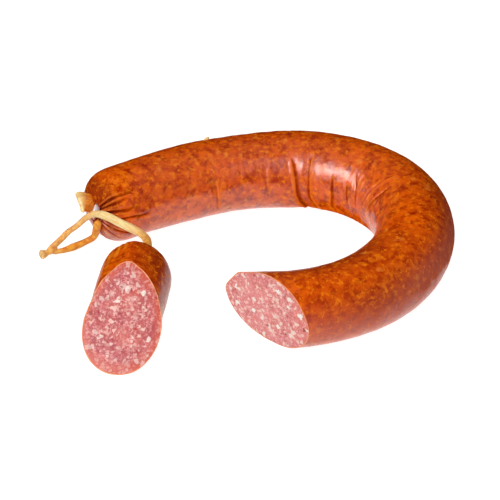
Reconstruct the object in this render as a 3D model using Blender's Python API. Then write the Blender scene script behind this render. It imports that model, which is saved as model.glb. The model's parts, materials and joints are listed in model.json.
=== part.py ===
"""Ring mettwurst, cut into: a smoked ring sausage whose two tied ends share one string.

The long piece is a ring with a tied end and a slanting cut. The short piece is the other tied end,
cut off and laid beside it, still held by the string. Each piece is a casing over its meat filling.
Units are metres. The sausage lies on the plane z = 0.
"""

import math

import bpy
import numpy as np
from mathutils import Matrix, Vector

# ---------------------------------------------------------------- driving dimensions
COLLECTION = "ring_mettwurst"
CASING_WALL = 0.0010        # casing with the meat that clings to it
FIT_GAP = 0.0003            # clearance between pieces that touch
SETTLE = 0.0006             # how far the soft sausage squashes onto the table
GATHER_RADIUS = 0.0019      # casing gathered into a neck
DOME_POWER = 2.6            # bluntness of a tied end
DIMPLE_REACH = 0.0075       # the neck sits in a dimple this wide
RUN_ON = 0.08               # the sausage as it was before the knife, past the cut

# Plan of each piece: where the casing is gathered, the heading there, then (length, turn) arcs.
RING_START = (-0.0912, 0.0309)
RING_HEADING = 37.0
RING_BENDS = [(0.0585, -10), (0.066, -32), (0.066, -60), (0.060, -49), (0.044, -35), (0.044, -31)]
RING_RADII = [(0.000, 0.0203), (0.080, 0.0207), (0.195, 0.0217), (0.295, 0.0208), (0.338, 0.0204)]
RING_DOME = 0.017
RING_DIMPLE = 0.0040        # depth of the dimple that the neck comes out of
RING_TAIL = (-0.66, 0.14, 0.74)    # which way the gathered tail points
RING_CUT_TURN = 41.6        # between the knife's line and the sausage's axis, seen from above
RING_KNIFE = (0.074, 0.064, 0.046)
RING_SIDES, RING_CORE_SIDES = 36, 24

END_START = (-0.0663, -0.0154)
END_HEADING = -96.4
END_BENDS = [(0.090, -1)]
END_RADII = [(0.000, 0.0186), (0.045, 0.0192), (0.090, 0.0238)]
END_DOME = 0.017
END_DIMPLE = 0.0030
END_TAIL = (-0.25, 0.93, 0.15)
END_CUT_AT = 0.057          # along the axis, to where the knife crosses it
END_CUT_TILT = 50.5         # the cut face leans back from upright by this much
END_CUT_YAW = 2.5
END_KNIFE = (0.070, 0.130, 0.080)
END_SIDES, END_CORE_SIDES = 32, 20

# Folds across the inside of the bend: (along the axis, angle round, reach round, depth, slant).
RING_CREASES = [
    (0.075, 192, 34, 0.00035, 0.02), (0.104, 200, 40, 0.00040, 0.01), (0.117, 188, 56, 0.00055, -0.01),
    (0.123, 196, 52, 0.00065, 0.01), (0.139, 190, 42, 0.00045, 0.02), (0.148, 180, 36, 0.00045, -0.02),
    (0.163, 172, 34, 0.00040, 0.05), (0.174, 165, 30, 0.00035, 0.06),
]
CREASE_WIDTH = 0.0011
PLEAT_COUNT = 10
PLEAT_DEPTH = 0.0014
PLEAT_WIDTH = 11.0          # degrees round the axis
PLEAT_REACH = 0.028

# The gathered casing, measured from the bottom of its dimple out along the neck and the tail.
TAIL_LENGTH = 0.0150
TAIL_BEND = (0.0015, 0.0085)    # between here and here the neck bends over to the tail
TAIL_FLARE = 0.0036
TAIL_WALL = 0.0008
DOME_STEPS = (0.0021, 0.0030, 0.0042, 0.0056, 0.0074, 0.0096, 0.0120, 0.0142, 0.0160)
CLIP_AT = 0.0036
CLIP_WIRE = 0.0008          # radius
CLIP_WIDTH = 1.7            # the wire is pressed this much wider than thick
CLIP_OPENING = 24.0         # degrees between its pressed ends

STRING_RADIUS = 0.0019
# Centre line of the string from each clip to the knot that joins both runs.
STRING_LOWER = [
    (-0.0890, 0.0251, 0.0181), (-0.0896, 0.0256, 0.0147), (-0.0902, 0.0269, 0.0107),
    (-0.0909, 0.0279, 0.0075), (-0.0925, 0.0285, 0.0049), (-0.0957, 0.0283, 0.0030),
    (-0.0999, 0.0261, 0.0021), (-0.1040, 0.0233, 0.0020), (-0.1077, 0.0209, 0.0020),
    (-0.1108, 0.0191, 0.0021),
]
STRING_UPPER = [
    (-0.0626, -0.0131, 0.0207), (-0.0616, -0.0060, 0.0210), (-0.0616, -0.0004, 0.0202),
    (-0.0631, 0.0055, 0.0198), (-0.0664, 0.0101, 0.0200), (-0.0713, 0.0142, 0.0205),
    (-0.0772, 0.0177, 0.0217), (-0.0827, 0.0198, 0.0237), (-0.0874, 0.0227, 0.0236),
    (-0.0920, 0.0255, 0.0218), (-0.0961, 0.0262, 0.0187), (-0.1002, 0.0249, 0.0152),
    (-0.1051, 0.0245, 0.0116), (-0.1086, 0.0228, 0.0087), (-0.1111, 0.0209, 0.0069),
]
STRING_STEP = 0.0085
KNOT_CENTRE = (-0.1159, 0.0171, 0.0030)
KNOT_SIZE = (0.0048, 0.0026, 0.0026)
KNOT_HEADING = 30.0


# ---------------------------------------------------------------- small helpers
def material(name, colour, roughness, metallic=0.0):
    """A plain Principled material."""
    made = bpy.data.materials.new(name)
    made.use_nodes = True
    shader = made.node_tree.nodes["Principled BSDF"]
    shader.inputs["Base Color"].default_value = (*colour, 1.0)
    shader.inputs["Roughness"].default_value = roughness
    shader.inputs["Metallic"].default_value = metallic
    return made


def smooth_table(table, x):
    """Read a value from (place, value) pairs, easing from each pair to the next."""
    for (x0, y0), (x1, y1) in zip(table, table[1:]):
        if x <= x1:
            u = min(1.0, max(0.0, (x - x0) / (x1 - x0)))
            return y0 + (y1 - y0) * u * u * (3 - 2 * u)
    return table[-1][1]


def smooth_curve(points, step):
    """Evenly spaced points on a smooth curve through a cord's route points."""
    route = [Vector(p) for p in points]
    padded = [2 * route[0] - route[1], *route, 2 * route[-1] - route[-2]]
    fine = []
    for a, b, c, d in zip(padded, padded[1:], padded[2:], padded[3:]):
        for i in range(12):
            t = i / 12
            fine.append(0.5 * (2 * b + (c - a) * t + (2 * a - 5 * b + 4 * c - d) * t * t
                               + (3 * b - a - 3 * c + d) * t ** 3))
    fine.append(route[-1])
    reach = [0.0]
    for p, q in zip(fine, fine[1:]):
        reach.append(reach[-1] + (q - p).length)
    count = max(2, round(reach[-1] / step))
    picked = []
    for i in range(count + 1):
        want = reach[-1] * i / count
        j = min(len(fine) - 2, max(0, int(np.searchsorted(reach, want)) - 1))
        share = (want - reach[j]) / (reach[j + 1] - reach[j])
        picked.append(fine[j].lerp(fine[j + 1], share))
    return picked


# ---------------------------------------------------------------- the sausage's centre line
class Plan:
    """A chain of arcs in plan, which carries straight on past its last arc."""

    def __init__(self, start, heading, bends):
        self.arcs = []
        x, y = start
        angle, at = math.radians(heading), 0.0
        for length, turn in bends + [(RUN_ON, 0)]:
            bend = math.radians(turn) / length
            self.arcs.append((at, x, y, angle, bend))
            x, y, angle = self.along(x, y, angle, bend, length)
            at += length
        self.length = sum(length for length, turn in bends)

    @staticmethod
    def along(x, y, angle, bend, distance):
        """Point and angle after a distance along one arc."""
        half = bend * distance / 2
        chord = distance * (math.sin(half) / half if abs(half) > 1e-9 else 1.0)
        return x + chord * math.cos(angle + half), y + chord * math.sin(angle + half), angle + 2 * half

    def at(self, distance):
        """Point in plan and heading in radians; before the start the line runs straight."""
        arc = [a for a in self.arcs if a[0] <= max(distance, 0.0)][-1]
        bend = arc[4] if distance > 0 else 0.0
        return self.along(*arc[1:4], bend, distance - arc[0])


def section(centre, forward, radius, relief, sides, floor, lean=0.0):
    """One ring of points round the axis; angle 0 is the left side and 90 degrees the top.

    The relief moves each point along the surface's normal, which leans back from the ring's
    plane by the given angle.
    """
    left = Vector((0.0, 0.0, 1.0)).cross(forward).normalized()
    up = forward.cross(left)
    ring = []
    for i in range(sides):
        angle = 2 * math.pi * i / sides
        depth = relief(angle)
        reach = radius + depth * math.cos(lean)
        point = centre + left * (reach * math.cos(angle)) + up * (reach * math.sin(angle))
        point -= forward * (depth * math.sin(lean))
        point.z = max(point.z, floor)
        ring.append(point)
    return ring


def loft(name, rings, finish):
    """A closed body through rings of points, with a flat face at each end."""
    mesh = bpy.data.meshes.new(name)
    sides = len(rings[0])
    faces = [list(range(sides))[::-1], list(range((len(rings) - 1) * sides, len(rings) * sides))]
    for row in range(len(rings) - 1):
        for i in range(sides):
            j = (i + 1) % sides
            low, high = row * sides, (row + 1) * sides
            faces.append([low + i, low + j, high + j, high + i])
    mesh.from_pydata([p for ring in rings for p in ring], [], faces)
    mesh.materials.append(finish)
    mesh.shade_smooth()
    mesh.set_sharp_from_angle(angle=math.radians(50))
    return bpy.data.objects.new(name, mesh)


# ---------------------------------------------------------------- form of the surface
def dome(distance, depth):
    """Share of the full radius at a distance from the tied tip."""
    u = min(1.0, max(0.0, 1 - distance / depth))
    return (1 - u ** DOME_POWER) ** (1 / DOME_POWER)


def dome_distance(share, depth):
    """Distance from the tied tip at which the dome has this share of the full radius."""
    return depth * (1 - (1 - share ** DOME_POWER) ** (1 / DOME_POWER))


def dome_lean(distance, depth, full):
    """How far the dome's normal leans from straight out towards the tied tip, in radians."""
    axial = max(0.0, 1 - distance / depth) ** (DOME_POWER - 1) / depth
    radial = dome(distance, depth) ** (DOME_POWER - 1) / full
    return math.atan2(axial, radial)


def make_pleats(seed):
    """Uneven folds that run from the gathered neck out over the tied end."""
    draw = np.random.default_rng(seed)
    pleats = []
    for i in range(PLEAT_COUNT):
        angle = 2 * math.pi * (i + draw.uniform(-0.28, 0.28)) / PLEAT_COUNT
        pleats.append((angle, draw.uniform(0.55, 1.0), draw.uniform(0.6, 1.0) * PLEAT_REACH))
    return pleats


def pleat_relief(pleats, distance, angle):
    """Depth of the pleats at a point on the dome's side, always inwards."""
    total = 0.0
    for centre, share, reach in pleats:
        off = math.remainder(angle - centre, 2 * math.pi)
        total += share * math.exp(-(off / math.radians(PLEAT_WIDTH)) ** 2) * max(0.0, 1 - distance / reach)
    return -PLEAT_DEPTH * min(total, 1.0)


def crease_relief(distance, angle):
    """Folds across the inside of the ring's bend."""
    total = 0.0
    for at, centre, spread, depth, slant in RING_CREASES:
        off = math.remainder(angle - math.radians(centre), 2 * math.pi)
        across = (distance - at - slant * 0.02 * off) / CREASE_WIDTH
        total += depth * math.exp(-across ** 2 - (off / math.radians(spread)) ** 2)
    return -total


def lump_relief(distance, angle):
    """Slow unevenness of a hand-filled casing."""
    return 0.00020 * (math.sin(distance * 105 + 2 * angle) + math.sin(distance * 61 - angle + 1.3))


# ---------------------------------------------------------------- bodies of one sausage piece
class Sausage:
    """One tied piece of sausage: its skin's form, the hollow in the skin, and the meat."""

    def __init__(self, start, heading, bends, radii, depth, dimple, tail, seed, creases):
        self.plan = Plan(start, heading, bends)
        self.radii, self.depth, self.dimple = radii, depth, dimple
        self.tail = Vector(tail).normalized()
        self.pleats = make_pleats(seed)
        self.creases = creases

    def body_radius(self, distance):
        return smooth_table(self.radii, distance)

    def frame(self, distance):
        """Centre and forward direction of the body at a distance from its tied tip."""
        x, y, heading = self.plan.at(distance)
        height = self.body_radius(distance) - SETTLE
        return Vector((x, y, height)), Vector((math.cos(heading), math.sin(heading), 0.0))

    def neck(self, out):
        """Point and outward direction of the gathered casing, this far out of its dimple."""
        point, forward = self.frame(self.dimple)
        bend_from, bend_to = TAIL_BEND
        steps = 24
        way = -forward
        for i in range(steps):
            middle = out * (i + 0.5) / steps
            turn = min(1.0, max(0.0, (middle - bend_from) / (bend_to - bend_from)))
            way = (-forward).lerp(self.tail, turn).normalized()
            point = point + way * (out / steps)
        return point, way

    def skin_relief(self, distance, angle):
        relief = lump_relief(distance, angle) * min(1.0, distance / 0.02)
        relief += pleat_relief(self.pleats, distance, angle)
        if self.creases:
            relief += crease_relief(distance, angle)
        return relief

    def tail_rings(self, sides):
        """The flared, frilled end of the casing with its open mouth, down to the neck."""
        def frill(share):
            return lambda angle: share * 0.0005 * math.sin(5 * angle + 0.6)

        rings = []
        for out, radius, share in [
                (TAIL_LENGTH - 0.0032, TAIL_FLARE * 0.45, 0.0),
                (TAIL_LENGTH, TAIL_FLARE - TAIL_WALL, 1.0), (TAIL_LENGTH, TAIL_FLARE, 1.0),
                (TAIL_LENGTH - 0.0028, TAIL_FLARE * 0.92, 0.8),
                (TAIL_LENGTH - 0.0060, TAIL_FLARE * 0.75, 0.4),
                (CLIP_AT + 0.0018, GATHER_RADIUS, 0.0), (CLIP_AT - 0.0015, GATHER_RADIUS, 0.0)]:
            point, way = self.neck(out)
            rings.append(section(point, -way, radius, frill(share), sides, 0.0))
        return rings

    def dome_rings(self, sides):
        """The puckered face of the tied end, from the bottom of the dimple to its shoulder."""
        rings = []
        full = self.body_radius(0.0)
        for radius in DOME_STEPS:
            well = min(1.0, max(0.0, (DIMPLE_REACH - radius) / (DIMPLE_REACH - GATHER_RADIUS)))
            fold = min(1.0, (radius - GATHER_RADIUS) / 0.004)
            distance = dome_distance(radius / full, self.depth)
            point, forward = self.frame(distance + self.dimple * well * well * (3 - 2 * well))
            rings.append(section(point, forward, radius,
                                 lambda angle, d=distance, f=fold: f * self.skin_relief(d, angle),
                                 sides, 0.0, dome_lean(distance, self.depth, full)))
        return rings

    def skin(self, name, stations, sides, finish):
        """Outer form of the piece, from the tip of its tail to past the cut."""
        rings = self.tail_rings(sides) + self.dome_rings(sides)
        for distance in stations:
            point, forward = self.frame(distance)
            radius = self.body_radius(distance) * dome(distance, self.depth)
            rings.append(section(point, forward, radius,
                                 lambda angle, d=distance: self.skin_relief(d, angle), sides, 0.0,
                                 dome_lean(distance, self.depth, self.body_radius(0.0))))
        return loft(name, rings, finish)

    def core(self, name, stations, sides, inset, finish):
        """Smooth inner form of the piece, this far inside its skin."""
        rings = []
        for distance in stations:
            past_dimple = self.dimple * max(0.0, 1 - distance / self.depth)
            point, forward = self.frame(distance + inset + past_dimple)
            fade = PLEAT_DEPTH * max(0.0, 1 - distance / PLEAT_REACH)
            radius = (self.body_radius(distance) - inset - fade) * dome(distance, self.depth)
            rings.append(section(point, forward, radius,
                                 lambda angle, d=distance: lump_relief(d, angle) * min(1.0, d / 0.02),
                                 sides, inset))
        return loft(name, rings, finish)


def spread(start, end, step):
    """Evenly spaced places from start to end."""
    count = max(1, round((end - start) / step))
    return [start + (end - start) * i / count for i in range(count + 1)]


def cut_with(target, cutter):
    """Take a cutter away from a body."""
    cut = target.modifiers.new(cutter.name, "BOOLEAN")
    cut.operation = "DIFFERENCE"
    cut.solver = "EXACT"
    cut.object = cutter


def knife(name, centre, facing, size):
    """A block whose near face is the cut: it takes away what lies past the centre."""
    bpy.ops.mesh.primitive_cube_add(size=1.0)
    block = bpy.context.object
    block.name = name
    block.scale = size
    block.rotation_mode = "QUATERNION"
    block.rotation_quaternion = facing.to_track_quat("Z", "Y")
    block.location = centre + facing * (size[2] / 2)
    return block


# ---------------------------------------------------------------- clip, string and knot
def clip(name, sausage, finish):
    """A wire clip pressed round the gathered neck, its ends almost meeting."""
    curve = bpy.data.curves.new(name, "CURVE")
    curve.dimensions = "3D"
    curve.bevel_depth = CLIP_WIRE
    curve.bevel_resolution = 2
    curve.use_fill_caps = True
    ring = GATHER_RADIUS + FIT_GAP + CLIP_WIRE
    steps = 18
    line = curve.splines.new("POLY")
    line.points.add(steps)
    for i, point in enumerate(line.points):
        angle = math.radians(-90 + CLIP_OPENING / 2 + (360 - CLIP_OPENING) * i / steps)
        point.co = (ring * math.cos(angle), ring * math.sin(angle), 0.0, 1.0)
    curve.materials.append(finish)
    made = bpy.data.objects.new(name, curve)
    centre, way = sausage.neck(CLIP_AT)
    made.matrix_world = (Matrix.Translation(centre) @ way.to_track_quat("Z", "Y").to_matrix().to_4x4()
                         @ Matrix.Diagonal((1.0, 1.0, CLIP_WIDTH, 1.0)))
    return made


def cord(name, route, finish):
    """A round cord along a smooth line through its route points."""
    curve = bpy.data.curves.new(name, "CURVE")
    curve.dimensions = "3D"
    curve.bevel_depth = STRING_RADIUS
    curve.bevel_resolution = 2
    curve.use_fill_caps = True
    points = smooth_curve(route, STRING_STEP)
    line = curve.splines.new("POLY")
    line.points.add(len(points) - 1)
    for point, place in zip(line.points, points):
        point.co = (*place, 1.0)
    curve.materials.append(finish)
    return bpy.data.objects.new(name, curve)


def knot(name, finish):
    """The pulled-tight knot: a small lump with the turns of the string showing."""
    bpy.ops.mesh.primitive_uv_sphere_add(segments=18, ring_count=11, radius=1.0)
    made = bpy.context.object
    made.name = name
    long, wide, tall = KNOT_SIZE
    for vertex in made.data.vertices:
        angle = math.atan2(vertex.co.z, vertex.co.y)
        turns = 1 + 0.09 * math.cos(2.4 * math.pi * vertex.co.x + angle)
        vertex.co = (vertex.co.x * long, vertex.co.y * wide * turns, vertex.co.z * tall * turns)
    made.rotation_euler = (0.0, 0.0, math.radians(KNOT_HEADING))
    made.location = KNOT_CENTRE
    made.data.materials.append(finish)
    made.data.shade_smooth()
    return made


# ---------------------------------------------------------------- assembly
def place(made, collection):
    """Put an object in one collection and no other."""
    for other in list(made.users_collection):
        other.objects.unlink(made)
    collection.objects.link(made)
    return made


def sausage_piece(prefix, sausage, skin_at, core_at, sides, core_sides, blade, finishes, parts, cutters):
    """Casing and filling of one piece, both cut by the same knife."""
    casing = place(sausage.skin(prefix + "_casing", skin_at, sides, finishes["casing"]), parts)
    filling = sausage.core(prefix + "_filling", core_at, core_sides, CASING_WALL + FIT_GAP,
                           finishes["meat"])
    place(filling, parts)
    hollow_at = core_at[:-1] + [core_at[-1] + 0.01]
    hollow = sausage.core(prefix + "_hollow", hollow_at, core_sides, CASING_WALL, finishes["meat"])
    for cutter in (place(hollow, cutters), place(blade, cutters)):
        cutter.hide_render = True
        cutter.display_type = "WIRE"
    cut_with(casing, hollow)
    cut_with(casing, blade)
    cut_with(filling, blade)


def main():
    for old in list(bpy.data.objects):
        bpy.data.objects.remove(old, do_unlink=True)
    parts = bpy.data.collections.new(COLLECTION)
    cutters = bpy.data.collections.new("cutters")
    for collection in (parts, cutters):
        bpy.context.scene.collection.children.link(collection)
    finishes = {
        "casing": material("smoked_casing", (0.55, 0.085, 0.015), 0.28),
        "meat": material("coarse_meat", (0.78, 0.30, 0.25), 0.5),
        "clip": material("aluminium", (0.80, 0.81, 0.83), 0.35, 1.0),
        "string": material("hanging_string", (0.78, 0.45, 0.16), 0.8),
    }

    ring = Sausage(RING_START, RING_HEADING, RING_BENDS, RING_RADII, RING_DOME, RING_DIMPLE,
                   RING_TAIL, 7, True)
    shoulder = [0.0075, 0.0105, 0.0140, 0.0180, 0.0225, 0.0275]
    past_cut = ring.plan.length + 0.030
    folds = [at + off for at, *rest in RING_CREASES for off in (-CREASE_WIDTH, 0.0, CREASE_WIDTH)]
    plain = [s for s in spread(0.0335, past_cut, 0.0085) if all(abs(s - f) > 0.0025 for f in folds)]
    core_tip = [0.0003, 0.0012, 0.0030, 0.0055, 0.0095, 0.0150, 0.0220]
    core_at = core_tip + spread(0.033, past_cut - 0.003, 0.011)
    x, y, heading = ring.plan.at(ring.plan.length)
    aim = heading + math.radians(90 - RING_CUT_TURN)
    facing = Vector((math.cos(aim), math.sin(aim), 0.0))
    blade = knife("ring_knife", Vector((x, y, 0.02)), facing, RING_KNIFE)
    sausage_piece("ring", ring, shoulder + sorted(plain + folds), core_at, RING_SIDES,
                  RING_CORE_SIDES, blade, finishes, parts, cutters)

    end = Sausage(END_START, END_HEADING, END_BENDS, END_RADII, END_DOME, END_DIMPLE, END_TAIL,
                  3, False)
    centre, forward = end.frame(END_CUT_AT)
    aim = math.atan2(forward.y, forward.x) + math.radians(END_CUT_YAW)
    tilt = math.radians(END_CUT_TILT)
    facing = Vector((math.cos(aim) * math.cos(tilt), math.sin(aim) * math.cos(tilt), math.sin(tilt)))
    blade = knife("end_piece_knife", centre, facing, END_KNIFE)
    sausage_piece("end_piece", end, shoulder + spread(0.033, 0.093, 0.0075),
                  core_tip + spread(0.033, 0.090, 0.011), END_SIDES, END_CORE_SIDES,
                  blade, finishes, parts, cutters)

    place(clip("ring_clip", ring, finishes["clip"]), parts)
    place(clip("end_piece_clip", end, finishes["clip"]), parts)
    place(cord("string_lower", STRING_LOWER, finishes["string"]), parts)
    place(cord("string_upper", STRING_UPPER, finishes["string"]), parts)
    place(knot("string_knot", finishes["string"]), parts)


main()
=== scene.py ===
# %% [markdown]
# # A ring of smoked mettwurst, cut into
#
# Mettwurst is coarse raw pork filled into a casing, tied at both ends, hung on one string and smoked.
# This lesson dresses a plain solid model of such a ring: glossy mottled casing, coarse pink meat at
# the two cuts, pressed clips, and the soft string that still holds the cut-off end.
# The solids are already measured and packed, so the first step loads them and hangs each on its body.

import json
import math

import bpy
import numpy as np
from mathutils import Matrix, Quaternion, Vector, noise

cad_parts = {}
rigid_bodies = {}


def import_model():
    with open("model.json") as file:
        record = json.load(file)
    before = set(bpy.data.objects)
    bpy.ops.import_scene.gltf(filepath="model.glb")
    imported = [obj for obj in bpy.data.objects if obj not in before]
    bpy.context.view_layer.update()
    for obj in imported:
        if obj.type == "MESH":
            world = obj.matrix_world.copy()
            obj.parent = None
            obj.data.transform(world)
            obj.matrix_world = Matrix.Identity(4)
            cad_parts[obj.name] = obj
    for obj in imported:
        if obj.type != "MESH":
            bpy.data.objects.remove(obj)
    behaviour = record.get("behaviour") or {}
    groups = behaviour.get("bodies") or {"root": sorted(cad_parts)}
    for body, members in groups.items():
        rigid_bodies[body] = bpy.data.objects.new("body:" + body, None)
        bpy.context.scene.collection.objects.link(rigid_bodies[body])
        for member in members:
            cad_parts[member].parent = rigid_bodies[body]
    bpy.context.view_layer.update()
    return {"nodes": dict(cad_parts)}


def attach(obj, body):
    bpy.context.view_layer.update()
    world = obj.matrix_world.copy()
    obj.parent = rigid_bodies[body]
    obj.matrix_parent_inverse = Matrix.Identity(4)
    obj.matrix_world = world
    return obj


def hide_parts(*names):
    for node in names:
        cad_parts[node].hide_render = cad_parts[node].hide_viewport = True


for old in list(bpy.data.objects):
    bpy.data.objects.remove(old, do_unlink=True)
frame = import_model()
print("solids:", sorted(frame["nodes"]))

# %% [markdown]
# ## The camera
#
# We look down on the ring from about a third of the way up, so that its whole bend and both cuts
# show, with a long lens that keeps both arms nearly the same size. We stand two metres away and
# point at the floor just behind the middle of the ring. A long lens could also be faked with an
# orthographic camera, but a real one keeps the slight shrinking of the far arm.

# %% Camera
CAMERA_RISE = math.radians(32.5)
CAMERA_DISTANCE = 2.0
AIM = Vector((-0.0072, 0.0242, 0.0))

camera_data = bpy.data.cameras.new("camera")
camera_data.sensor_width = 36.0
camera_data.lens = 266.4
camera = bpy.data.objects.new("camera", camera_data)
bpy.context.scene.collection.objects.link(camera)
back = Vector((0.0, -math.cos(CAMERA_RISE), math.sin(CAMERA_RISE)))
camera.location = AIM + back * CAMERA_DISTANCE
camera.rotation_euler = (math.pi / 2 - CAMERA_RISE, 0.0, 0.0)
bpy.context.scene.camera = camera
print("camera at", [round(v, 3) for v in camera.location])

# %% [markdown]
# ## A helper that turns rows of points into a mesh
#
# Sausages, strings and clips are all rows of points round a line. Blender could sweep a curve with
# a bevel, but then no row could be dented by hand. So every long piece here is a grid: rows of
# points, each row closed on itself, joined to the next row by four-sided faces.

# %% Grid mesh
def grid_mesh(name, rows, cap_start=True, cap_end=True):
    """An object from an array of closed rows of points; the end rows may be closed by a face."""
    count, around = rows.shape[:2]
    index = np.arange(count * around).reshape(count, around)
    after = np.roll(index, -1, axis=1)
    quads = np.stack([index[:-1], after[:-1], after[1:], index[1:]], axis=-1).reshape(-1, 4)
    faces = quads.tolist()
    if cap_start:
        faces.append(index[0][::-1].tolist())
    if cap_end:
        faces.append(index[-1].tolist())
    mesh = bpy.data.meshes.new(name)
    mesh.from_pydata(rows.reshape(-1, 3).tolist(), [], faces)
    mesh.shade_smooth()
    made = bpy.data.objects.new(name, mesh)
    bpy.context.scene.collection.objects.link(made)
    return made


def paint(made, name, values):
    """Store a number, or a vector, for each point of a mesh, for its material to read."""
    values = np.asarray(values, np.float32)
    kind, key = ("FLOAT_VECTOR", "vector") if values.shape[-1] == 3 else ("FLOAT", "value")
    layer = made.data.attributes.new(name, kind, "POINT")
    layer.data.foreach_set(key, values.ravel())


def unit(vector):
    return vector / np.linalg.norm(vector)


def around_row(count):
    """The angles of the points of one row."""
    return np.linspace(0, 2 * np.pi, count, endpoint=False)


def speckle(points, scale, seed):
    """Smooth unevenness between -1 and 1 at each point, with grains 1 / scale metres wide."""
    offset = Vector((seed * 7.3, seed * 3.1, seed * 5.7))
    flat = points.reshape(-1, 3)
    values = [noise.noise(Vector(p) * scale + offset) for p in flat]
    return np.array(values).reshape(points.shape[:-1])


print("grid helper ready")

# %% [markdown]
# ## A helper that sweeps a section along a route
#
# A string or wire follows a route through a few points. A bevelled curve would give it the same
# round section all along, so we lay a smooth curve through the points ourselves and set a row of
# points square to it at every step. Each point also keeps its place along and across the string,
# because fibres are finer than a mesh should carry and the material has to draw them.

# %% Sweep along a route
FIBRE_STRETCH = 0.12    # places along count this much, which draws the fibres out lengthwise
TABLE_GAP = 0.0002      # nothing swept comes closer to the table


def smooth_route(points, step):
    """Evenly spaced points on a smooth curve through the route's own points."""
    route = np.array(points, float)
    padded = np.vstack([2 * route[0] - route[1], route, 2 * route[-1] - route[-2]])
    a, b, c, d = padded[:-3, None], padded[1:-2, None], padded[2:-1, None], padded[3:, None]
    t = np.linspace(0, 1, 24, endpoint=False)[None, :, None]
    fine = 0.5 * (2 * b + (c - a) * t + (2 * a - 5 * b + 4 * c - d) * t ** 2
                  + (3 * b - a - 3 * c + d) * t ** 3)
    fine = np.vstack([fine.reshape(-1, 3), route[-1]])
    reach = np.r_[0, np.cumsum(np.linalg.norm(np.diff(fine, axis=0), axis=1))]
    want = np.linspace(0, reach[-1], max(2, round(reach[-1] / step)) + 1)
    return np.stack([np.interp(want, reach, fine[:, k]) for k in range(3)], axis=1), want


def sweep(name, points, step, around, shape):
    """Sweep a section along a route; shape gives its reach sideways and upwards for each angle."""
    line, along = smooth_route(points, step)
    ahead = np.gradient(line, axis=0)
    ahead /= np.linalg.norm(ahead, axis=1)[:, None]
    up = np.array([0.0, 0.0, 1.0])
    rows, fibres = [], []
    angle = around_row(around)
    for centre, way, s in zip(line, ahead, along):
        up = unit(up - way * (up @ way))
        side = np.cross(up, way)
        across, tall = shape(s / along[-1], s, angle)
        rows.append(centre + np.outer(across, side) + np.outer(tall, up))
        fibres.append(np.stack([across, tall, np.full(around, FIBRE_STRETCH * s)], axis=1))
    rows = np.array(rows)
    rows[..., 2] = np.maximum(rows[..., 2], TABLE_GAP)
    made = grid_mesh(name, rows)
    paint(made, "fibre", np.array(fibres).reshape(-1, 3))
    return made, rows, line


straight = smooth_route([(0.0, 0.0, 0.0), (0.01, 0.0, 0.0)], 0.001)[0]
print("a straight route of 10 mm in steps of 1 mm has", len(straight), "points")

# %% [markdown]
# ## Where the string lies
#
# The ring was hung in the smoke on a loop of soft cotton string, one end under each clip, with a
# knot where the two runs meet. A rope simulation could lay it down, but the string has dried stiff
# in its place, so each run is a list of the places it passes, from its clip to the knot.

# %% String routes
STRING_LOWER = [
    (-0.0890, 0.0251, 0.0181), (-0.0896, 0.0256, 0.0147), (-0.0902, 0.0269, 0.0107),
    (-0.0909, 0.0279, 0.0075), (-0.0925, 0.0285, 0.0049), (-0.0957, 0.0283, 0.0030),
    (-0.0999, 0.0261, 0.0021), (-0.1040, 0.0233, 0.0020), (-0.1077, 0.0209, 0.0020),
    (-0.1108, 0.0193, 0.0022), (-0.1134, 0.0178, 0.0023),
]
STRING_UPPER = [
    (-0.0626, -0.0131, 0.0207), (-0.0616, -0.0060, 0.0210), (-0.0616, -0.0004, 0.0202),
    (-0.0631, 0.0055, 0.0198), (-0.0664, 0.0101, 0.0200), (-0.0713, 0.0142, 0.0205),
    (-0.0772, 0.0177, 0.0217), (-0.0827, 0.0198, 0.0237), (-0.0874, 0.0227, 0.0236),
    (-0.0920, 0.0255, 0.0218), (-0.0961, 0.0262, 0.0187), (-0.1002, 0.0249, 0.0152),
    (-0.1051, 0.0243, 0.0116), (-0.1086, 0.0224, 0.0087), (-0.1115, 0.0205, 0.0066),
    (-0.1142, 0.0188, 0.0050), (-0.1162, 0.0174, 0.0040),
]
KNOT = [(-0.1112, 0.0200, 0.0044), (-0.1130, 0.0190, 0.0038), (-0.1150, 0.0177, 0.0032),
        (-0.1176, 0.0161, 0.0028), (-0.1199, 0.0147, 0.0028)]
print("places on the string:", len(STRING_UPPER), "+", len(STRING_LOWER), "+", len(KNOT))

# %% [markdown]
# ## The string
#
# A string is not a smooth pipe: it is flattened, thicker where it is slack, and softly folded. A
# plain tube would look like wire. So a table gives its half width from end to end, and the section
# is squashed and folded a little as it goes. The knot is one short swollen end, as it is pulled too
# tight to tell its turns apart.

# %% String
STRING_STEP = 0.0006


def string_shape(widths, flatness, seed):
    """Section of a slack string: it swells, is a little flat, and has soft lengthwise folds."""
    places, radii = zip(*widths)

    def shape(share, s, angle):
        radius = np.interp(share, places, radii)
        radius *= 1 + 0.07 * noise.noise(Vector((s * 260, seed, 0.3)))
        folds = 1 + 0.06 * np.cos(2 * angle + 170 * s + seed) + 0.05 * np.cos(5 * angle - 90 * s + seed)
        end = min(1.0, 0.55 + 12 * share, 0.55 + 12 * (1 - share))
        return radius * folds * end * np.cos(angle), radius * folds * end * flatness * np.sin(angle)
    return shape


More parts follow.
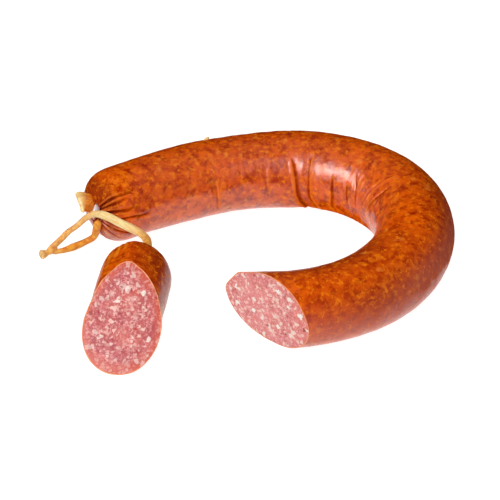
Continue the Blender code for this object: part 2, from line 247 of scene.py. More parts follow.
long_run, long_rows, long_line = sweep(
    "string_long_run", STRING_UPPER, STRING_STEP, 26,
    string_shape([(0, .0022), (.15, .0024), (.35, .0023), (.54, .0024), (.66, .0020), (.78, .0017),
                  (.88, .0019), (1, .0017)], 0.86, 1.7))
short_run, short_rows, short_line = sweep(
    "string_short_run", STRING_LOWER, STRING_STEP, 26,
    string_shape([(0, .0022), (.25, .0021), (.5, .0020), (.68, .0022), (.85, .0015), (1, .0014)], 0.9, 4.2))
knot, knot_rows = sweep(
    "string_tied_end", KNOT, STRING_STEP / 2, 30,
    string_shape([(0, .0012), (.25, .0018), (.42, .0020), (.55, .0016), (.72, .0021), (.9, .0028),
                  (1, .0027)], 0.88, 2.9))[:2]


def length_of(line):
    return float(np.linalg.norm(np.diff(line, axis=0), axis=1).sum())


for piece, node in ((long_run, "string_upper"), (short_run, "string_lower"), (knot, "string_knot")):
    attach(piece, "root")
    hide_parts(node)
print("string runs:", round(length_of(long_line), 4), round(length_of(short_line), 4), "m")

# %% [markdown]
# ## The line of a sausage
#
# Seen from above a ring sausage is a chain of arcs, tight where it hung over the smoking stick and
# nearly straight along its arms. We write it as (length, turn) pairs and read off the place and
# heading at any distance from the tied tip. The thickness is a short table of its own, because a
# natural casing is never the same width all along.

# %% Arcs in plan
RUN_ON = 0.08           # each piece as it was before the knife, past its cut
DOME_POWER = 2.6        # bluntness of a tied end
DOME_DEPTH = 0.017


def arc_step(x, y, angle, bend, distance):
    half = bend * distance / 2
    chord = distance * np.sinc(half / np.pi)
    return x + chord * np.cos(angle + half), y + chord * np.sin(angle + half), angle + 2 * half


def chain_of_arcs(start, heading, bends):
    """Rows of (distance, x, y, angle, bend) where each arc begins."""
    arcs, (x, y), angle, at = [], start, math.radians(heading), 0.0
    for length, turn in bends + [(RUN_ON, 0)]:
        bend = math.radians(turn) / length
        arcs.append((at, x, y, angle, bend))
        x, y, angle = arc_step(x, y, angle, bend, length)
        at += length
    return np.array(arcs)


def read_table(table, s):
    """Ease from each (place, value) pair to the next."""
    table = np.array(table)
    i = np.clip(np.searchsorted(table[:, 0], s) - 1, 0, len(table) - 2)
    u = np.clip((s - table[i, 0]) / (table[i + 1, 0] - table[i, 0]), 0, 1)
    return table[i, 1] + (table[i + 1, 1] - table[i, 1]) * u * u * (3 - 2 * u)


def dome_share(s):
    u = np.clip(1 - s / DOME_DEPTH, 0, 1)
    return (1 - u ** DOME_POWER) ** (1 / DOME_POWER)


print("bluntness of a tied end half way up its dome:", round(float(dome_share(DOME_DEPTH / 2)), 3))

# %% [markdown]
# ## Pleats
#
# Where the casing is gathered it lies in sharp pleats that fade out over the end. A sculptor would
# push them in by hand. Here each is a row of three numbers, read by a function of the place along
# the sausage and the angle round it, because then any pleat can be moved or deepened by changing
# one number.

# %% Pleats
# Each pleat has its angle round, its share of the full depth and its reach along.
RING_PLEATS = [(132, 1.0, .021), (141, .8, .014), (158, 1.0, .019), (173, 1.0, .027), (187, .2, .013),
               (201, .7, .019), (216, .3, .013), (236, .1, .012), (118, .2, .012), (104, .12, .012),
               (84, .1, .011), (60, .12, .014), (33, .12, .015), (8, .3, .018),
               (-14, .4, .018), (-44, .45, .022), (-82, .5, .020), (-110, .6, .022)]
END_PLEATS = [(99, .1, .030), (110, .3, .034), (122, .12, .036), (132, .35, .036), (147, .15, .032),
              (161, .25, .026), (178, .15, .020), (198, .3, .016), (84, .1, .016), (62, .1, .018),
              (41, .1, .016), (16, .2, .018), (-8, .3, .016), (-37, .3, .014), (-68, .3, .014),
              (-104, .3, .014)]
PLEAT_DEPTH = 0.0013
PLEAT_WIDTH = 0.00055   # at the neck
PLEAT_SPREAD = 0.00035  # and this much more where the pleat runs out


def turn_from(angle, centre):
    """Signed turn from a centre angle, within half a circle either way."""
    return (angle - math.radians(centre) + np.pi) % (2 * np.pi) - np.pi


def pleat_relief(pleats, s, angle, radius):
    """Sharp grooves that run out from the neck, with a low lip on both sides."""
    total = np.zeros(np.broadcast(s, angle).shape)
    for centre, share, reach in pleats:
        fade = np.clip(1 - s / reach, 0, 1)
        wander = 0.02 * np.sin(s * 400 + centre)
        off = (turn_from(angle, centre) + wander) * np.maximum(radius, 0.003)
        width = PLEAT_WIDTH + PLEAT_SPREAD * s / reach
        total -= share * fade * np.exp(-(off / width) ** 2)
        total += 0.35 * share * fade * np.exp(-((np.abs(off) - 2.1 * width) / width) ** 2)
    return PLEAT_DEPTH * np.clip(total, -1.1, 0.4)


print("pleats:", len(RING_PLEATS), "round the ring's end,", len(END_PLEATS), "round the end piece's")

# %% [markdown]
# ## Folds across the bend
#
# Across the inside of the bend the casing is too long for the meat and folds over itself: each fold
# is a groove with a lip beside it, and the skin swells into soft pillows between the grooves. Noise
# could wrinkle the skin, but it would wrinkle all of it alike. So each fold is a route over the skin
# with a depth of its own, and only the fine ripples between them are noise.

# %% Folds
# Each fold is a route over the skin as (millimetres along, degrees round) pairs, and its depth.
# A minus depth puts the lip of the fold on its other side.
RING_FOLDS = [
    ([(64.0, 144), (64.5, 176)], 0.00035), ([(68.0, 150), (69.0, 186), (70.0, 208)], -0.00060),
    ([(71.0, 148), (70.5, 166)], 0.00030), ([(102.5, 146), (102.0, 168), (103.5, 194)], -0.00050),
    ([(116.5, 138), (117.5, 158), (119.5, 186)], -0.00060),
    ([(118.0, 134), (120.5, 164), (121.5, 192), (124.5, 212), (127.0, 232), (128.5, 258)], 0.00080),
    ([(122.0, 202), (124.5, 214), (127.5, 236), (129.0, 264)], 0.00060),
    ([(131.5, 126), (131.0, 148), (131.5, 170), (132.0, 190), (136.0, 212), (137.5, 236)], -0.00080),
    ([(149.5, 152), (150.5, 184), (148.0, 216)], 0.00065), ([(163.0, 154), (166.0, 186)], 0.00045),
    ([(167.0, 150), (172.0, 180)], -0.00040), ([(166.5, 132), (172.5, 154), (176.5, 184)], 0.00045),
    ([(194.0, 102), (192.5, 128), (185.0, 180)], -0.00050),
    ([(201.5, 116), (200.0, 140), (193.0, 176)], 0.00055),
    ([(206.5, 126), (204.5, 152), (201.0, 178)], -0.00045), ([(216.0, 134), (212.0, 170)], 0.00035),
    ([(226.0, 150), (224.0, 186)], -0.00030), ([(88.0, 160), (88.5, 182)], 0.00018),
    ([(95.5, 140), (95.0, 160)], 0.00015), ([(79.0, 150), (79.5, 172)], -0.00018),
]
FOLD_WIDTH = 0.00115
RIPPLE_DEPTH = 0.00022


def fold_relief(folds, s, angle, pillow=0.35):
    """A lip beside a groove along each fold, and a wide hollow that leaves pillows between them."""
    turn = np.degrees(angle) % 360
    total = np.zeros(np.broadcast(s, turn).shape)
    for route, depth in folds:
        along, round_it = np.array(route).T
        across = (s - np.interp(turn, round_it, along) / 1000) / FOLD_WIDTH
        span = np.clip((turn - round_it[0] + 4) / 12, 0, 1) * np.clip((round_it[-1] + 6 - turn) / 16, 0, 1)
        lip = -np.tanh(across / 0.35) * np.exp(-np.abs(across) / 1.5)
        lip = np.where(lip > 0, 0.55 * lip, lip)
        total += span * (depth * lip - pillow * abs(depth) * np.exp(-(across / 4.5) ** 2))
    return total


def ripple(s, angle):
    """Fine ripples across the inside of the bend, where the casing is too long."""
    flat_s, flat_turn = (v.ravel() for v in np.broadcast_arrays(s, np.degrees(angle) % 360))
    inside = np.exp(-((flat_turn - 160) / 34) ** 2) * np.clip((flat_s - 0.05) / 0.04, 0, 1) \
        * np.clip((0.25 - flat_s) / 0.04, 0, 1)
    waves = [noise.noise(Vector((a * 420, b * 0.035, 0.4))) if k > 0.02 else 0.0
             for a, b, k in zip(flat_s, flat_turn, inside)]
    return RIPPLE_DEPTH * (inside * np.array(waves)).reshape(np.broadcast(s, angle).shape)


print("folds:", len(RING_FOLDS), "up to", max(abs(depth) for route, depth in RING_FOLDS), "m deep")

# %% [markdown]
# ## Lumps
#
# Everywhere the sausage is slightly lumpy, as its filling is coarse. Such lumps have no order, but
# they are so slow and shallow that two waves which cross each other do as well as noise, and they
# are quicker to work out.

# %% Lumps
LUMP_DEPTH = 0.00020


def lump_relief(s, angle):
    """Slow unevenness, everywhere but at the tip."""
    lumps = np.sin(s * 105 + 2 * angle) + np.sin(s * 61 - angle + 1.3)
    return LUMP_DEPTH * lumps * np.clip(s / 0.02, 0, 1)


print("lumps of up to", 2 * LUMP_DEPTH, "m")

# %% [markdown]
# ## Out of round
#
# No real sausage is round. The table flattens it a little, the knife has pressed it at the cut, and
# the string pulls the end piece up into a ridge. A lattice could squeeze the finished mesh, but the
# folds would be squeezed with it. So a few soft flats and ridges round the section multiply the
# thickness before anything else is added.

# %% Section
# Where a section is out of round: angle round, half width in degrees, share of the thickness. The
# knife has pressed the ring flatter beside a corner, and the string pulls the end piece into a ridge.
RING_SECTION = [(22, 24, -.060), (75, 16, .02), (119, 14, -.060), (153, 16, -.050), (181, 10, .02),
                (262, 26, -.03)]
END_SECTION = [(90, 15, .075), (48, 10, -.01), (120, 12, -.02), (155, 32, -.055), (270, 26, -.03),
               (347, 30, .045)]


def out_of_round(presses):
    """The shares at every degree: under 1 where pressed flat, over 1 along a ridge."""
    angle = np.radians(np.arange(360))
    return 1 + sum(share * np.exp(-(turn_from(angle, centre) / math.radians(wide)) ** 2)
                   for centre, wide, share in presses)


print("ring's section runs from", out_of_round(RING_SECTION).min().round(3), "of its thickness")

# %% [markdown]
# ## One whole piece
#
# The ring and its cut-off end are the same thing twice: a line, a thickness, a section, relief and
# a knife's plane. We could build both with one long function. A class holds all that makes a piece
# and can be asked for a point of its skin at any place and angle, also a little inside the skin, so
# casing, meat, tail and clip all ask the same piece and fit each other.

# %% Sausage
SETTLE = 0.0006         # the soft sausage squashes this much onto the table
GATHER_RADIUS = 0.0019  # casing gathered under the clip
RELIEF_FADE = 0.004     # pleats and folds fade in over this much radius past the neck
CREASE_FROM = 0.00008   # relief shallower than this is left plain
HOLLOW_FULL, LIP_FULL = 0.00026, 0.00030
CUT_HALVINGS = 28       # steps of the search for the knife's plane


class Sausage:
    """One tied piece: its line, thickness, relief and the knife's plane."""

    def __init__(self, start, heading, bends, radii, dimple, tail, pleats, folds, section, section_from):
        self.section, self.section_from = out_of_round(section), section_from
        self.arcs = chain_of_arcs(start, heading, bends)
        self.length = sum(length for length, turn in bends)
        self.radii, self.dimple, self.pleats, self.folds = radii, dimple, pleats, folds
        self.full = read_table(radii, np.zeros(1))[0]
        self.tail = unit(np.array(tail))

    def plan(self, s):
        """Place and heading seen from above, at distances from the tied tip."""
        at, x, y, angle, bend = np.moveaxis(
            self.arcs[np.clip(np.searchsorted(self.arcs[:, 0], s, side="right") - 1, 0, None)], -1, 0)
        return arc_step(x, y, angle, np.where(s > 0, bend, 0.0), s - at)

    def axis(self, s):
        """Centre, forward and left direction at distances from the tied tip."""
        x, y, heading = self.plan(s)
        flat = np.zeros_like(x)
        centre = np.stack([x, y, read_table(self.radii, s) - SETTLE], axis=-1)
        forward = np.stack([np.cos(heading), np.sin(heading), flat], axis=-1)
        left = np.stack([-np.sin(heading), np.cos(heading), flat], axis=-1)
        return centre, forward, left

    def radius(self, s):
        """The radius before anything is pressed or folded."""
        return read_table(self.radii, s) * dome_share(s)

    def surface(self, s, angle, inset=0.0, radius=None, sunk=0.0):
        """Points of the skin, or of a smooth body this far inside it."""
        if radius is None:
            radius = self.radius(s)
        first, last = self.section_from
        pressed = np.interp(np.degrees(angle) % 360, np.arange(360), self.section, period=360) - 1
        radius = radius * (1 + pressed * np.clip((s - first) / (last - first), 0, 1))
        centre, forward, left = self.axis(s + sunk)
        relief = lump_relief(s, angle)
        if inset == 0.0:
            relief = relief + pleat_relief(self.pleats, s, angle, radius)
            if self.folds:
                relief = relief + fold_relief(self.folds, s, angle) + ripple(s, angle)
            relief = relief * np.clip((radius - GATHER_RADIUS) / RELIEF_FADE, 0, 1)
        axial = np.clip(1 - s / DOME_DEPTH, 0, 1) ** (DOME_POWER - 1) / DOME_DEPTH
        lean = np.arctan2(axial, dome_share(s) ** (DOME_POWER - 1) / self.full)
        reach = radius - inset + relief * np.cos(lean)
        points = centre + left * (reach * np.cos(angle))[..., None] \
            - forward * (relief * np.sin(lean))[..., None]
        points[..., 2] += reach * np.sin(angle)
        points[..., 2] = np.maximum(points[..., 2], inset)
        return points

    def creases(self, s, angle, radius=None):
        """How deep in a fold or pleat each point lies, and how far out on a lip, from 0 to 1."""
        if radius is None:
            radius = self.radius(s)
        relief = pleat_relief(self.pleats, s, angle, radius)
        if self.folds:
            relief = relief + fold_relief(self.folds, s, angle, 0.0)
        return (np.clip((-relief - CREASE_FROM) / HOLLOW_FULL, 0, 1),
                np.clip((relief - CREASE_FROM) / LIP_FULL, 0, 1))

    def cut_distance(self, angle, inset=0.0):
        """How far along the skin the knife crosses it, at each angle round."""
        low = np.full(angle.shape, 0.02)
        high = np.full(angle.shape, self.length + RUN_ON * 0.6)
        for _ in range(CUT_HALVINGS):
            middle = (low + high) / 2
            past = (self.surface(middle, angle, inset) - self.cut_at) @ self.facing > 0
            low, high = np.where(past, low, middle), np.where(past, middle, high)
        return high


print("a metre halved", CUT_HALVINGS, "times is", 1 / 2 ** CUT_HALVINGS, "m")

# %% [markdown]
# ## The ring and its end piece
#
# The end piece was cut off the ring and still hangs on its string. The knife crossed the ring
# upright but slantwise, and the end piece leaning far over. Boolean cuts could follow here, but for
# now only the knife's plane is noted, as a point on it and the way it faces: the meshes below will
# stop there by themselves.

# %% Ring and end piece
RING_CUT_TURN = 42.6    # degrees between the knife's line and the ring's own line
RING_CUT_LEAN = -0.03
CUT_SHIFT, CUT_HEIGHT = 0.001, 0.02
END_CUT_AT = 0.057      # along the end piece, where the knife crosses its middle
END_CUT_YAW, END_CUT_TILT = math.radians(2.5), math.radians(50.5)

ring = Sausage(
    (-0.0912, 0.0309), 37.0,
    [(0.0585, -10), (0.066, -32), (0.066, -60), (0.060, -49), (0.044, -35), (0.044, -31)],
    [(0.000, 0.0203), (0.080, 0.0207), (0.195, 0.0217), (0.295, 0.0208), (0.338, 0.0204)],
    0.0040, (-0.66, 0.20, 0.85), RING_PLEATS, RING_FOLDS, RING_SECTION, (0.290, 0.325))
x, y, heading = (float(v[0]) for v in ring.plan(np.array([ring.length])))
aim = heading + math.radians(90 - RING_CUT_TURN)
ring.cut_at = np.array([x + CUT_SHIFT * math.cos(heading), y + CUT_SHIFT * math.sin(heading), CUT_HEIGHT])
ring.facing = np.array([math.cos(aim), math.sin(aim), RING_CUT_LEAN])

end = Sausage(
    (-0.0663, -0.0154), -96.4, [(0.090, -1)],
    [(0.000, 0.0186), (0.045, 0.0192), (0.090, 0.0238)],
    0.0030, (-0.25, 0.93, 0.15), END_PLEATS, [], END_SECTION, (0.000, 0.014))
centre, forward, left = end.axis(np.array([END_CUT_AT]))
aim = math.atan2(forward[0, 1], forward[0, 0]) + END_CUT_YAW
end.cut_at = centre[0]
end.facing = np.array([math.cos(aim) * math.cos(END_CUT_TILT), math.sin(aim) * math.cos(END_CUT_TILT),
                       math.sin(END_CUT_TILT)])
print("ring's line:", round(ring.length, 3), "m, its cut faces", ring.facing.round(2))

# %% [markdown]
# ## The puckered end, and the finest bumps
#
# At its tied end the casing is drawn into a dimple round the neck. Rows spaced evenly along the
# sausage would be far too few there, so the rows of the end are spaced by their radius instead. And
# no skin is quite smooth. A bump in the material would not show at the outline, so a second helper
# moves the points themselves by three layers of noise.

# %% Puckered end
DOME_ROWS = 26
DOME_RIM = 0.0160       # the rows of the puckered end reach out to this radius
DIMPLE_REACH = 0.0075
GRAIN = [(160, 0.00016), (420, 0.00007), (1100, 0.00002)]  # bumps per metre, and their depth


def dome_rows(sausage, count):
    """Rows on the puckered end: their place along, radius, and how far the dimple sinks them."""
    radius = GATHER_RADIUS + 0.0002 + (DOME_RIM - GATHER_RADIUS) * np.linspace(0, 1, count) ** 1.1
    s = DOME_DEPTH * (1 - (1 - (radius / sausage.full) ** DOME_POWER) ** (1 / DOME_POWER))
    well = np.clip((DIMPLE_REACH - radius) / (DIMPLE_REACH - GATHER_RADIUS), 0, 1)
    return s, radius, sausage.dimple * well * well * (3 - 2 * well)


def wrinkle(points, made, depths, seed):
    """Push each point of a mesh in or out along its normal by layers of fine unevenness."""
    made.data.update()
    normals = np.zeros(len(made.data.vertices) * 3, np.float32)
    made.data.vertices.foreach_get("normal", normals)
    flat = points.reshape(-1, 3)
    push = sum(depth * speckle(flat, scale, seed + i) for i, (scale, depth) in enumerate(depths))
    moved = flat + normals.reshape(-1, 3) * push[:, None]
    moved[:, 2] = np.maximum(moved[:, 2], 0.0)
    made.data.vertices.foreach_set("co", moved.astype(np.float32).ravel())
    made.data.update()


print("the puckered end reaches", round(float(dome_rows(ring, DOME_ROWS)[0][-1]), 4), "m along the ring")

# %% [markdown]
# ## Patches on the skin
#
# Smoke, fat and drying have left slow patches on the skin. Some patches are painted light instead:
# painted shade on the sides that face away from the light and round the clip, a painted reflection
# of the table on the low side, and painted light streaks along the gathers of the end piece. They
# could be painted on with a brush, but then nobody could say where they are. So each is a soft spot
# with a place, a reach both ways and an amount, and the casing stores their sum at every point for
# its finish.

# %% Patches
def patches(table, s, angle):
    """Slow patches on the skin: (place along, degrees round, reach along, reach round, amount)."""
    total = np.zeros(np.broadcast(s, angle).shape)
    for along, turn, long_reach, turn_reach, amount in table:
        off = turn_from(angle, turn) / math.radians(turn_reach)
        total += amount * np.exp(-((s - along) / long_reach) ** 4 - off ** 2)
    return np.clip(total, 0, 1)


# Where smoke lies thick or shade is painted, where the skin is dull, where a grey bloom lies with a
# painted reflection of the table, where fat shows amber or light streaks are painted.
RING_PATCHES = {
    # smoke patches, and painted shade on the sides that face away from the light and round the clip
    "smoky": [(0.085, 60, 0.085, 20, .50), (0.185, 25, 0.05, 40, .45), (0.262, 12, 0.06, 36, .60),
              (0.308, 122, 0.045, 27, 1), (0.032, 140, 0.016, 26, .2), (0.0, 180, 0.006, 400, .8),
              (0.0, 135, 0.009, 50, .4), (0.305, 95, 0.04, 40, .25)],
    "dry": [(0.0, 80, 0.022, 95, .9), (0.085, 60, 0.085, 36, 1), (0.185, 30, 0.05, 60, .75),
            (0.270, 65, 0.07, 85, 1), (0.160, 218, 0.045, 36, .85)],
    # painted reflection of the table on the low side that faces the camera, laid on as a grey bloom
    "bloom": [(0.270, -26, 0.09, 46, 1), (0.240, 15, 0.04, 30, .5)],
    "amber": [(0.300, 12, 0.008, 16, .35), (0.285, 38, 0.01, 16, .35), (0.268, 60, 0.03, 22, .3),
              (0.215, 120, 0.02, 16, .5), (0.060, 118, 0.012, 14, .3), (0.013, 112, 0.013, 44, .52)],
}
END_PATCHES = {
    # painted shade on the end piece's side that faces away from the light, and round its clip
    "smoky": [(0.010, 30, 0.022, 42, 1), (0.045, 0, 0.03, 40, 1), (0.006, 140, 0.008, 60, .5)],
    "dry": [(0.03, 92, 0.06, 80, 1)],
    # painted reflection on the end piece's low inner side, laid on as a grey bloom
    "bloom": [(0.030, 190, 0.03, 26, .3)],
    # painted light: streaks along the gathers of the end piece's shoulder, in an amber tint
    "amber": [(0.011, 103, 0.010, 4, .7), (0.013, 117, 0.014, 6, 1), (0.016, 132, 0.015, 6, 1),
              (0.020, 147, 0.016, 5, .9), (0.028, 160, 0.016, 5, .6)],
}
print("patches:", sum(len(table) for painted in (RING_PATCHES, END_PATCHES) for table in painted.values()))

# %% [markdown]
# ## The casing
#
# The casing runs from the gathered neck, out over the puckered end, along the arm and up to the
# knife. Cutting it with a Boolean would leave long thin faces along the cut, which spoil a glossy
# skin. Instead each lengthwise line of points simply stops where it meets the knife's plane: the
# last rows are spread between the plain tube and that place. Two more rows turn in over the edge
# and give the casing its paper-thin wall. The mesh also carries numbers for its finish: how deep a
# point lies in a fold, which sets painted shade in the fold and a painted highlight on its lip, how
# thick the smoke lies there together with painted shade, and where the skin is dull or has a grey
# bloom with a painted reflection of the table.

# %% Casing mesh
SKIN_WALL = 0.00045
WALL_REACH = 0.004      # how far in from the knife the wall has an inner side
CUT_MARGIN = 0.004      # plain rows stop this far short of the knife
SHARP_EDGE = math.radians(60)


def row_places(first, last, step, fine_step):
    """Places of the plain rows: closer together along the folded inside of the bend."""
    marks = [0.0, 0.058, 0.062, 0.218, 0.224, 1.0]
    steps = [step, step, fine_step, fine_step, step, step]
    places = [first]
    while places[-1] < last - step:
        places.append(places[-1] + float(np.interp(places[-1], marks, steps)))
    return np.array(places)[:, None]


def casing(name, sausage, around, step, fine_step, painted, seed):
    """The casing of one piece, ending on the knife's plane, with closer rows where it folds."""
    angle = around_row(around)[None, :]
    s, radius, sunk = (v[:, None] for v in dome_rows(sausage, DOME_ROWS))
    stop = sausage.cut_distance(angle[0])
    plain = row_places(float(s[-1, 0]) + 0.0005, stop.min() - CUT_MARGIN, step, fine_step)
    plain_end = float(plain[-1, 0])
    share = np.linspace(0, 1, round((stop.max() - plain_end) / step) + 1)[1:, None]
    sloping = plain_end + (stop - plain_end)[None, :] * share
    parts = [(s, radius, sunk), (plain, None, 0.0), (sloping, None, 0.0)]
    outer = np.vstack([sausage.surface(at, angle, 0.0, wide, sink) for at, wide, sink in parts])
    # hollow and lip also drive the finish: painted shade in folds and pleats, painted highlights on their
    # lips
    hollow, lip = np.concatenate([sausage.creases(at, angle, wide) for at, wide, sink in parts], axis=1)
    edge = outer[-1]
    centre = edge.mean(axis=0)
    inward = (centre - edge) / np.linalg.norm(centre - edge, axis=1)[:, None]
    inner = sausage.surface((stop - WALL_REACH)[None, :], angle, SKIN_WALL)
    points = np.vstack([outer, (edge + inward * SKIN_WALL * 0.3 + sausage.facing * 0.00010)[None],
                        (edge + inward * SKIN_WALL + sausage.facing * 0.00002)[None], inner])
    made = grid_mesh(name, points, cap_start=True, cap_end=False)
    wrinkle(points, made, GRAIN, seed)
    painted = {key: np.vstack([patches(table, at, angle) for at, wide, sink in parts])
               for key, table in painted.items()}
    for key, values in {**painted, "hollow": hollow, "lip": lip}.items():
        paint(made, key, np.vstack([values, np.zeros((3, around))]))
    paint(made, "edge", np.vstack([np.zeros((len(outer) - 1, around)), np.ones((4, around))]))
    made.data.set_sharp_from_angle(angle=SHARP_EDGE)
    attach(made, "root")
    return made


ring_casing = casing("ring_smoked_casing", ring, 204, 0.0013, 0.00056, RING_PATCHES, 1)
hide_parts("ring_casing")
end_casing = casing("end_smoked_casing", end, 180, 0.0008, 0.0008, END_PATCHES, 5)
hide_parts("end_piece_casing")
print("casing faces:", len(ring_casing.data.polygons), len(end_casing.data.polygons))

# %% [markdown]
# ## The meat
#
# Inside is one long body of coarse meat, and all that shows of it are the two cut faces. A knife
# leaves such a face almost flat: the fat flecks stand a hair proud, a few crumbs have come out, and
# the middle swells a little because the casing squeezes it. We build the face as rings of points
# that shrink towards its middle and lift them by fine unevenness. The colour of each fleck is left
# to the material.

# %% Meat mesh
TIP_ROWS = [0.0012, 0.0030, 0.0055, 0.0095, 0.0150]
HIDDEN_STEP = 0.008     # between the rows that nobody sees
SHRUNK = 0.0013         # the hidden body stays this far clear of the casing
SHRUNK_AT_TIP = 0.0010  # and this much more towards its tip
FACE_RINGS = 56
FACE_BULGE = 0.0005
PITS, PIT_DEPTH = 14, 0.0006
PIT_REACH = (0.0005, 0.0009)


def meat(name, sausage, around, lean, seed):
    """The filling of one piece: a smooth hidden body that ends in a fine cut face."""
    angle = around_row(around)[None, :]
    inset = SKIN_WALL * 0.7
    stop = sausage.cut_distance(angle[0], inset)
    plain_end = stop.min() - 0.012
    start = np.r_[TIP_ROWS, np.arange(0.022, plain_end, HIDDEN_STEP)][:, None]
    loose = SHRUNK_AT_TIP * np.clip(1 - start / 0.028, 0, 1) + SHRUNK
    past_dimple = sausage.dimple * np.clip(1 - start / DOME_DEPTH, 0, 1)
    rows = [sausage.surface(start, angle, inset, sausage.radius(start) - loose, past_dimple + inset)]
    toward = np.linspace(0, 1, 14)[1:-1, None]
    rows.append(sausage.surface(plain_end + (stop - plain_end)[None, :] * toward, angle, inset))
    rim = sausage.surface(stop[None, :], angle, inset)[0]
    centre = rim.mean(axis=0)
    share = np.linspace(1, 0.01, FACE_RINGS)[:, None, None]
    face = centre + (rim - centre) * share
    bulge = FACE_BULGE * (1 - share[..., 0] ** 4)
    lift = bulge + (0.00012 * speckle(face, 500, seed) + 0.00006 * speckle(face, 1300, seed + 1)) \
        * np.clip((1 - share[..., 0]) * 20, 0, 1)
    draw = np.random.default_rng(seed)
    for _ in range(PITS):
        turn, out = draw.uniform(0, around), draw.uniform(0.15, 0.9) ** 0.5
        pit = centre + (rim[int(turn)] - centre) * out
        reach = draw.uniform(*PIT_REACH)
        lift -= PIT_DEPTH * np.exp(-(np.linalg.norm(face - pit, axis=-1) / reach) ** 2)
    rows.append(face + sausage.facing * lift[..., None])
    made = grid_mesh(name, np.vstack(rows))
    ragged = 0.05 * speckle(face, 260, seed + 2)
    near_rim = np.clip((share[..., 0] + ragged - 0.78) / 0.20, 0, 1) * (0.65 + 0.35 * lean)
    hidden = np.ones((sum(len(r) for r in rows) - len(face), around))
    paint(made, "near_rim", np.vstack([hidden, near_rim]))
    # lean is partly how lean the meat is and partly painted light: it lightens the ring's face and darkens
    # the end piece's
    paint(made, "lean", np.full(len(made.data.vertices), lean))
    made.data.set_sharp_from_angle(angle=SHARP_EDGE)
    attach(made, "root")
    return made


# the lean numbers paint the ring's face lighter and the end piece's face darker
ring_meat = meat("ring_coarse_meat", ring, 200, -1.1, 11)
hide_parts("ring_filling")
end_meat = meat("end_coarse_meat", end, 200, 1.0, 23)
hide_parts("end_piece_filling")
print("meat faces:", len(ring_meat.data.polygons), len(end_meat.data.polygons))

# %% [markdown]
# ## The line of the neck
#
# Out of the dimple comes a neck of gathered casing, and tail and clip both sit on it. It leaves
# along the sausage, turns towards its own side and curls over at the end. A curve object could hold
# that line, but small steps whose direction is blended from those three ways are simpler to read.

# %% Neck
TAIL_LENGTH = 0.0132    # from the dimple to the rim of the tail
BEND_REACH = 0.0050     # along which the neck turns towards the tail, and the tail curls over
CURL = np.array([-0.9, -0.3, -0.1])


def neck_line(sausage, reach, steps=60):
    """Points and directions along the gathered casing, out of its dimple."""
    centre, forward, left = sausage.axis(np.array([sausage.dimple]))
    point, out = centre[0], -forward[0]
    points, ways = [point.copy()], [out]
    for at in reach * (np.arange(steps) + 0.5) / steps:
        turn, over = (float(np.clip((at - start) / BEND_REACH, 0, 1)) for start in (0.0010, 0.0078))
        way = unit(out * (1 - turn) + sausage.tail * (turn - over) + CURL * over)
        point = point + way * (reach / steps)
        points.append(point.copy())
        ways.append(way)
    return np.linspace(0, reach, steps + 1), np.array(points), np.array(ways)


def read_line(place, out, values):
    """Points or directions at places along the neck."""
    return np.stack([np.interp(place, out, values[:, k]) for k in range(3)], axis=-1)


def square_to(way):
    """The level direction and the upward one, both square to a way."""
    side = unit(np.cross([0.0, 0.0, 1.0], way))
    return side, np.cross(way, side)


print("tail tip at", [round(v, 4) for v in neck_line(ring, TAIL_LENGTH)[1][-1]])

# %% [markdown]
# ## The gathered tail
#
# Past the clip the casing opens again into a dry, frilled tail that curls over on itself. It is thin
# skin, so it is a shell: the rows run up the outside, over a rolled rim and down the inside. A cone
# would look like a trumpet, so the radius follows a sine that closes again a little at the rim, and
# a few waves round the row make the frills.

# %% Tail
CLIP_AT = 0.0042        # where the clip sits on the neck
TAIL_FLARE = 0.0054
TAIL_SIDES = 96
TAIL_WALL = 0.0016      # between outside and inside, rolled rim and all
RIM_ROLL = 0.0007


def tail(name, sausage, seed):
    """The frilled end of the casing past its clip."""
    out, points, ways = neck_line(sausage, TAIL_LENGTH)
    angle = around_row(TAIL_SIDES)
    frill = sum(share * np.cos(waves * angle + turns * seed)
                for share, waves, turns in ((0.5, 3, 1), (0.3, 5, 2), (0.2, 8, 3)))
    outside = [(o, 0.0) for o in np.linspace(CLIP_AT - 0.0022, TAIL_LENGTH, 34)]
    over_rim = [(TAIL_LENGTH + RIM_ROLL * math.sin(a), TAIL_WALL / 2 * (1 - math.cos(a)))
                for a in np.linspace(0.3, 2.8, 8)]
    inside = [(o, TAIL_WALL) for o in np.linspace(TAIL_LENGTH - 0.0002, TAIL_LENGTH - 0.0050, 12)]
    rows, rims = [], []
    for o, wall in outside + over_rim + inside:
        share = np.clip((o - CLIP_AT - 0.0010) / (TAIL_LENGTH - CLIP_AT - 0.0010), 0, 1)
        radius = GATHER_RADIUS + (TAIL_FLARE - GATHER_RADIUS) * math.sin(math.pi * 0.58 * share ** 0.8)
        if wall:
            radius *= 1 - 0.75 * max(0.0, (TAIL_LENGTH - o) / 0.0050) ** 1.5
        ragged = 0.0012 * share ** 3 * np.sin(angle + seed) + 0.0005 * share ** 4 * frill
        place = np.clip(o + ragged, 0, TAIL_LENGTH + 0.0017)
        centre = read_line(place, out, points) + np.clip(place - TAIL_LENGTH, 0, 1)[:, None] * ways[-1]
        side, up = square_to(unit(read_line(o, out, ways)))
        rolled = RIM_ROLL * math.exp(-((o - TAIL_LENGTH + 0.0006) / 0.0009) ** 2)
        reach = (radius + rolled - wall) * (1 + (0.16 + 0.06 * share) * frill)
        rows.append(centre + np.outer(reach * np.cos(angle), side)
                    + np.outer(reach * (1 - 0.15 * share) * np.sin(angle), up))
        rims.append(np.full(TAIL_SIDES, float(np.clip((o - TAIL_LENGTH + 0.0025) / 0.0020, 0, 1))))
    made = grid_mesh(name, np.array(rows))
    paint(made, "rim", np.concatenate(rims))
    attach(made, "root")
    return made


